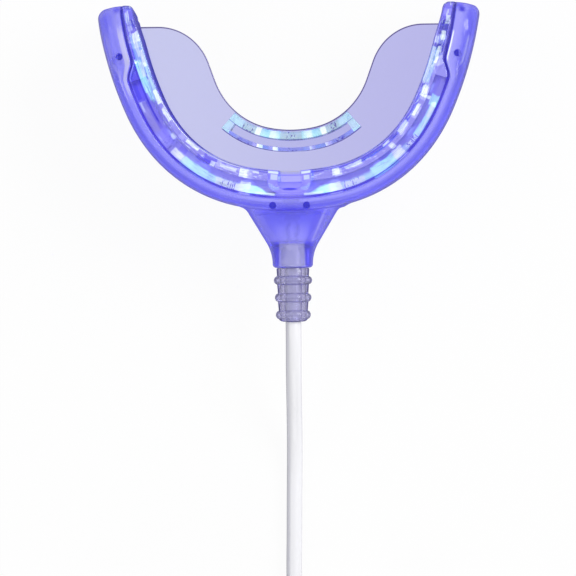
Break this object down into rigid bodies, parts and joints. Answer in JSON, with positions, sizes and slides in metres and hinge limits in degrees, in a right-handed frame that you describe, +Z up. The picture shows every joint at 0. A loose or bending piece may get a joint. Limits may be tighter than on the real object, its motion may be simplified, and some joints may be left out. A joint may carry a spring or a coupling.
{
  "type": "led teeth whitening mouth tray",
  "caption": "Curved mouth tray with a light strip behind its clear inner wall, a bite plate across it halfway up, and a stem in front for the USB lead.",
  "frame": {"origin": "the middle of the tray's base, under the box of the tray with its stem and strain relief, without the free lead", "axes": "+X to the right across the arch, +Y along the arms to the back of the mouth, +Z up from the lower teeth to the upper ones; the stem points along -Y"},
  "size_m": [0.0779, 0.1639, 0.026],
  "materials": {
    "shell": "clear violet, polished",
    "light_guide": "clear, polished",
    "bite_plate": "clear soft elastomer, smooth",
    "board": "white flexible circuit, satin",
    "led": "white package with a clear window",
    "resistor": "dark grey-violet chip",
    "connector": "moulded, satin",
    "lead_positive": "pale violet insulation",
    "lead_negative": "violet insulation",
    "strain_relief": "frosted translucent elastomer",
    "cable": "white sheath, satin",
    "tie": "woven strap",
    "plug_cover": "moulded, satin",
    "plug_shell": "plated sheet",
    "plug_tongue": "moulded",
    "contact": "gold plated"
  },
  "bodies": {
    "root": {"upper_shell": "shell", "lower_shell": "shell", "light_guide": "light_guide", "mouth_tray": "bite_plate", "led_board": "board", "led_01": "led", "led_02": "led", "led_03": "led", "led_04": "led", "led_05": "led", "led_06": "led", "led_07": "led", "led_08": "led", "led_09": "led", "led_10": "led", "led_11": "led", "led_12": "led", "led_13": "led", "led_14": "led", "led_15": "led", "led_16": "led", "resistor_1": "resistor", "resistor_2": "resistor", "resistor_3": "resistor", "resistor_4": "resistor", "wire_connector": "connector", "lead_wire_positive": "lead_positive", "lead_wire_negative": "lead_negative", "strain_relief": "strain_relief", "inner_cable": "cable", "cable": "cable", "cable_coil": "cable", "coil_tie": "tie", "cable_tail": "cable", "plug_cover": "plug_cover", "plug_shell": "plug_shell", "plug_tongue": "plug_tongue", "plug_contact_1": "contact", "plug_contact_2": "contact", "plug_contact_3": "contact", "plug_contact_4": "contact"}
  },
  "joints": []
}
